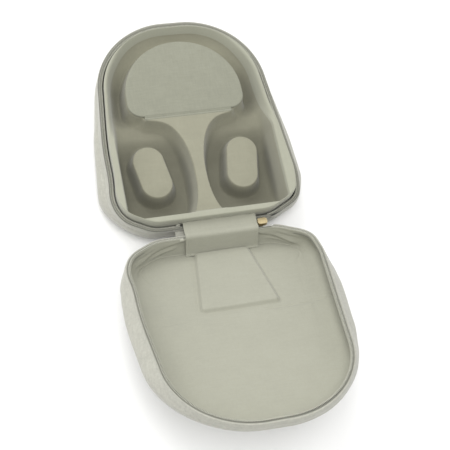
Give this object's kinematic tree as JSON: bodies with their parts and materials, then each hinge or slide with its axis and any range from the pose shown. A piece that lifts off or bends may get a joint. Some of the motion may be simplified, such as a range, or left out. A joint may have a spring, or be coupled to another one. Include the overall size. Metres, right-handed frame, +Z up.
{
  "type": "headphone carrying case",
  "caption": "Zipped carrying case for over-ear headphones, lying open: moulded tray with ear wells and a covered cable compartment, shallow soft lid on a fabric hinge.",
  "frame": {"origin": "middle of the flat face that the tray stands on", "axes": "+Z up; +Y from the hinge to the tray's far end, with the open lid toward -Y; +X to the side where the slider rests"},
  "size_m": [0.2086, 0.449, 0.1395],
  "materials": {
    "outer_fabric": "melange woven polyester",
    "zip_tape": "woven tape",
    "zip_coil": "nylon coil",
    "insert_fabric": "fine knitted lining over moulded foam",
    "lining_fabric": "fine plain weave",
    "board": "stiffener sheet",
    "gold_metal": "pale gold plated",
    "pull_fabric": "folded woven ribbon"
  },
  "bodies": {
    "tray": {"tray_shell": "outer_fabric", "tray_zip_tape": "zip_tape", "tray_zip_coil": "zip_coil", "tray_lip": "insert_fabric", "tray_floor": "insert_fabric", "cable_tub": "insert_fabric", "ear_bridge": "insert_fabric", "ear_boss_left": "insert_fabric", "ear_boss_right": "insert_fabric", "tray_top_stop": "zip_coil", "hinge_spine": "outer_fabric", "hinge_flap": "lining_fabric", "cable_flap_fold": "insert_fabric"},
    "lid": {"lid_side_wall": "outer_fabric", "lid_panel": "outer_fabric", "lid_board": "board", "lid_floor_lining": "lining_fabric", "lid_pad": "lining_fabric", "lid_zip_tape": "zip_tape", "lid_zip_coil": "zip_coil", "lid_top_stop": "zip_coil"},
    "cable_cover": {"cable_flap": "insert_fabric"},
    "zip_end": {"zip_bottom_stop": "gold_metal"},
    "slider": {"slider_body": "gold_metal", "slider_crown": "gold_metal"},
    "bail": {"pull_bail": "gold_metal"},
    "tab": {"pull_tab": "pull_fabric"}
  },
  "joints": [
    {"name": "lid_hinge", "type": "hinge", "parent": "tray", "child": "lid", "pos_m": [0, -0.11805, 0.038], "axis": [-1, 0, 0], "range_deg": [0, 153.94], "deforming": ["hinge_spine", "hinge_flap"]},
    {"name": "cable_cover_hinge", "type": "hinge", "parent": "tray", "child": "cable_cover", "pos_m": [0, 0.00875, 0.0352], "axis": [-1, 0, 0], "range_deg": [-110, 0], "deforming": ["cable_flap_fold"]},
    {"name": "zip_end_hinge", "type": "hinge", "parent": "tray", "child": "zip_end", "pos_m": [0, -0.11805, 0.038], "axis": [-1, 0, 0], "range_deg": [0, 76.97]},
    {"name": "slider_travel", "type": "slide", "parent": "zip_end", "child": "slider", "axis": [1, 0, 0], "range_m": [0, 0.008]},
    {"name": "bail_swing", "type": "hinge", "parent": "slider", "child": "bail", "pos_m": [0.049, -0.11868, 0.03527], "axis": [0, -0.9743, 0.2255], "range_deg": [-25, 80]},
    {"name": "tab_swing", "type": "hinge", "parent": "bail", "child": "tab", "pos_m": [0.049, -0.12048, 0.02748], "axis": [0, -0.9743, 0.2255], "range_deg": [-45, 10]}
  ],
  "couplings": [
    {"joint": "zip_end_hinge", "follows": "lid_hinge", "ratio": 0.5}
  ]
}
